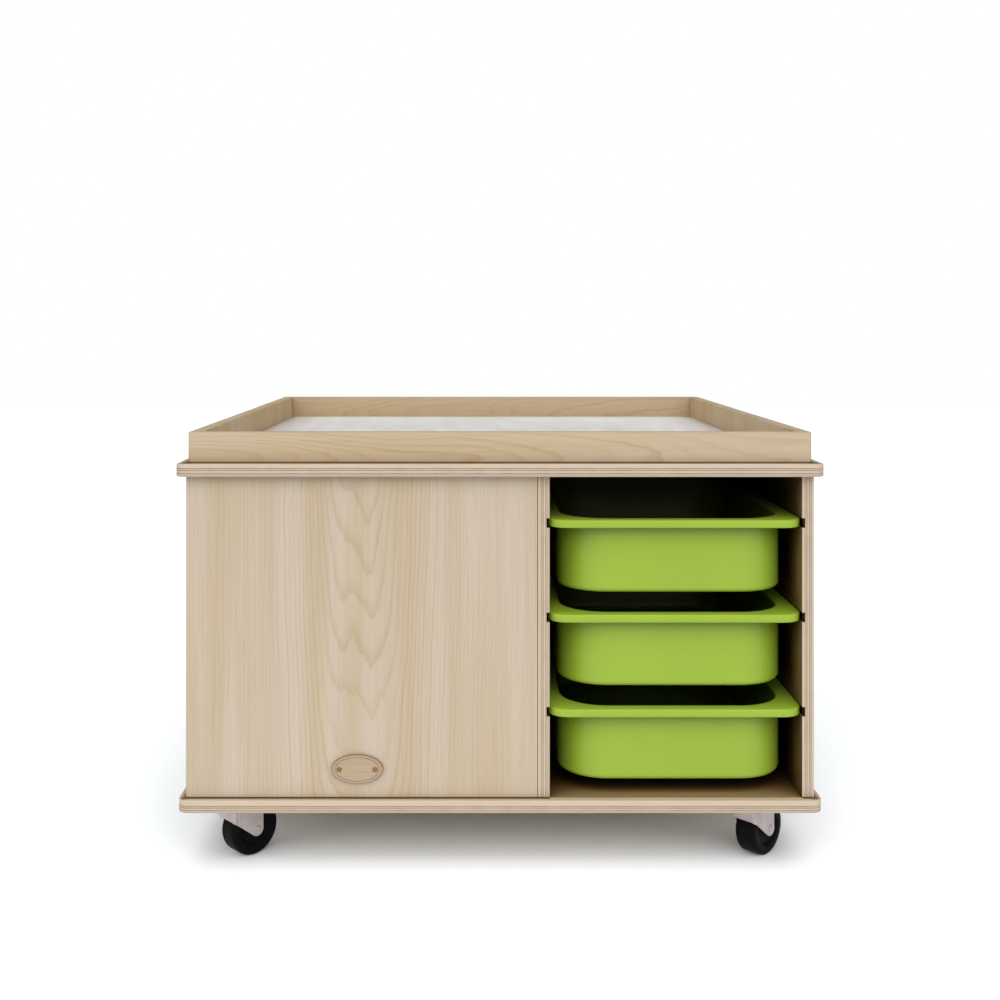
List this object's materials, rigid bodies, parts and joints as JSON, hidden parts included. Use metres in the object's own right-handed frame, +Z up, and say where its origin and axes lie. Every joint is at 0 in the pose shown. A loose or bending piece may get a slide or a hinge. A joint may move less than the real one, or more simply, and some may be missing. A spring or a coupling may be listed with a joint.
{
  "type": "mobile play table with storage tubs",
  "caption": "Square plywood activity table on casters with a shallow tray top and pull-out plastic tubs on all sides.",
  "frame": {"origin": "floor level, centre of the cabinet in plan", "axes": "+Z up, front face with the plaque towards -Y, +X to the right of that face"},
  "size_m": [0.762, 0.762, 0.5207],
  "materials": {
    "veneer": "satin clear lacquer on pale maple veneer, plywood edges",
    "tray_wood": "satin clear lacquer on maple",
    "laminate": "smooth white laminate",
    "tub_plastic": "semi-gloss lime green moulding",
    "plaque_wood": "satin, edges darkened",
    "rivet": "dull brass",
    "caster_steel": "satin silver paint",
    "wheel_rubber": "matte black"
  },
  "bodies": {
    "table": {"top_panel": "veneer", "bottom_panel": "veneer", "panel_front": "veneer", "panel_right": "veneer", "panel_back": "veneer", "panel_left": "veneer", "divider_front": "veneer", "divider_right": "veneer", "divider_back": "veneer", "divider_left": "veneer", "tray_board_front": "tray_wood", "tray_board_right": "tray_wood", "tray_board_back": "tray_wood", "tray_board_left": "tray_wood", "tray_floor": "laminate", "plaque": "plaque_wood", "rivet_left": "rivet", "rivet_right": "rivet", "caster_plate_front_left": "caster_steel", "caster_plate_front_right": "caster_steel", "caster_plate_back_right": "caster_steel", "caster_plate_back_left": "caster_steel", "caster_kingpin_front_left": "caster_steel", "caster_kingpin_front_right": "caster_steel", "caster_kingpin_back_right": "caster_steel", "caster_kingpin_back_left": "caster_steel"},
    "tub_front_top": {"tub_front_top": "tub_plastic"},
    "tub_front_middle": {"tub_front_middle": "tub_plastic"},
    "tub_front_bottom": {"tub_front_bottom": "tub_plastic"},
    "tub_right_top": {"tub_right_top": "tub_plastic"},
    "tub_right_middle": {"tub_right_middle": "tub_plastic"},
    "tub_right_bottom": {"tub_right_bottom": "tub_plastic"},
    "tub_back_top": {"tub_back_top": "tub_plastic"},
    "tub_back_middle": {"tub_back_middle": "tub_plastic"},
    "tub_back_bottom": {"tub_back_bottom": "tub_plastic"},
    "tub_left_top": {"tub_left_top": "tub_plastic"},
    "tub_left_middle": {"tub_left_middle": "tub_plastic"},
    "tub_left_bottom": {"tub_left_bottom": "tub_plastic"},
    "swivel_front_left": {"caster_fork_front_left": "caster_steel", "caster_axle_front_left": "caster_steel"},
    "wheel_front_left": {"caster_wheel_front_left": "wheel_rubber"},
    "swivel_front_right": {"caster_fork_front_right": "caster_steel", "caster_axle_front_right": "caster_steel"},
    "wheel_front_right": {"caster_wheel_front_right": "wheel_rubber"},
    "swivel_back_right": {"caster_fork_back_right": "caster_steel", "caster_axle_back_right": "caster_steel"},
    "wheel_back_right": {"caster_wheel_back_right": "wheel_rubber"},
    "swivel_back_left": {"caster_fork_back_left": "caster_steel", "caster_axle_back_left": "caster_steel"},
    "wheel_back_left": {"caster_wheel_back_left": "wheel_rubber"}
  },
  "joints": [
    {"name": "tub_front_top_slide", "type": "slide", "parent": "table", "child": "tub_front_top", "axis": [0, -1, 0], "range_m": [0, 0.38]},
    {"name": "tub_front_middle_slide", "type": "slide", "parent": "table", "child": "tub_front_middle", "axis": [0, -1, 0], "range_m": [0, 0.38]},
    {"name": "tub_front_bottom_slide", "type": "slide", "parent": "table", "child": "tub_front_bottom", "axis": [0, -1, 0], "range_m": [0, 0.38]},
    {"name": "tub_right_top_slide", "type": "slide", "parent": "table", "child": "tub_right_top", "axis": [1, 0, 0], "range_m": [0, 0.38]},
    {"name": "tub_right_middle_slide", "type": "slide", "parent": "table", "child": "tub_right_middle", "axis": [1, 0, 0], "range_m": [0, 0.38]},
    {"name": "tub_right_bottom_slide", "type": "slide", "parent": "table", "child": "tub_right_bottom", "axis": [1, 0, 0], "range_m": [0, 0.38]},
    {"name": "tub_back_top_slide", "type": "slide", "parent": "table", "child": "tub_back_top", "axis": [0, 1, 0], "range_m": [0, 0.38]},
    {"name": "tub_back_middle_slide", "type": "slide", "parent": "table", "child": "tub_back_middle", "axis": [0, 1, 0], "range_m": [0, 0.38]},
    {"name": "tub_back_bottom_slide", "type": "slide", "parent": "table", "child": "tub_back_bottom", "axis": [0, 1, 0], "range_m": [0, 0.38]},
    {"name": "tub_left_top_slide", "type": "slide", "parent": "table", "child": "tub_left_top", "axis": [-1, 0, 0], "range_m": [0, 0.38]},
    {"name": "tub_left_middle_slide", "type": "slide", "parent": "table", "child": "tub_left_middle", "axis": [-1, 0, 0], "range_m": [0, 0.38]},
    {"name": "tub_left_bottom_slide", "type": "slide", "parent": "table", "child": "tub_left_bottom", "axis": [-1, 0, 0], "range_m": [0, 0.38]},
    {"name": "caster_swivel_front_left", "type": "hinge", "parent": "table", "child": "swivel_front_left", "pos_m": [-0.313, -0.313, 0.07], "axis": [0, 0, 1], "continuous": true},
    {"name": "caster_roll_front_left", "type": "hinge", "parent": "swivel_front_left", "child": "wheel_front_left", "pos_m": [-0.30664, -0.30664, 0.0325], "axis": [0.7071, -0.7071, 0], "continuous": true},
    {"name": "caster_swivel_front_right", "type": "hinge", "parent": "table", "child": "swivel_front_right", "pos_m": [0.313, -0.313, 0.07], "axis": [0, 0, 1], "continuous": true},
    {"name": "caster_roll_front_right", "type": "hinge", "parent": "swivel_front_right", "child": "wheel_front_right", "pos_m": [0.31936, -0.30664, 0.0325], "axis": [0.7071, -0.7071, 0], "continuous": true},
    {"name": "caster_swivel_back_right", "type": "hinge", "parent": "table", "child": "swivel_back_right", "pos_m": [0.313, 0.313, 0.07], "axis": [0, 0, 1], "continuous": true},
    {"name": "caster_roll_back_right", "type": "hinge", "parent": "swivel_back_right", "child": "wheel_back_right", "pos_m": [0.31936, 0.31936, 0.0325], "axis": [0.7071, -0.7071, 0], "continuous": true},
    {"name": "caster_swivel_back_left", "type": "hinge", "parent": "table", "child": "swivel_back_left", "pos_m": [-0.313, 0.313, 0.07], "axis": [0, 0, 1], "continuous": true},
    {"name": "caster_roll_back_left", "type": "hinge", "parent": "swivel_back_left", "child": "wheel_back_left", "pos_m": [-0.30664, 0.31936, 0.0325], "axis": [0.7071, -0.7071, 0], "continuous": true}
  ]
}
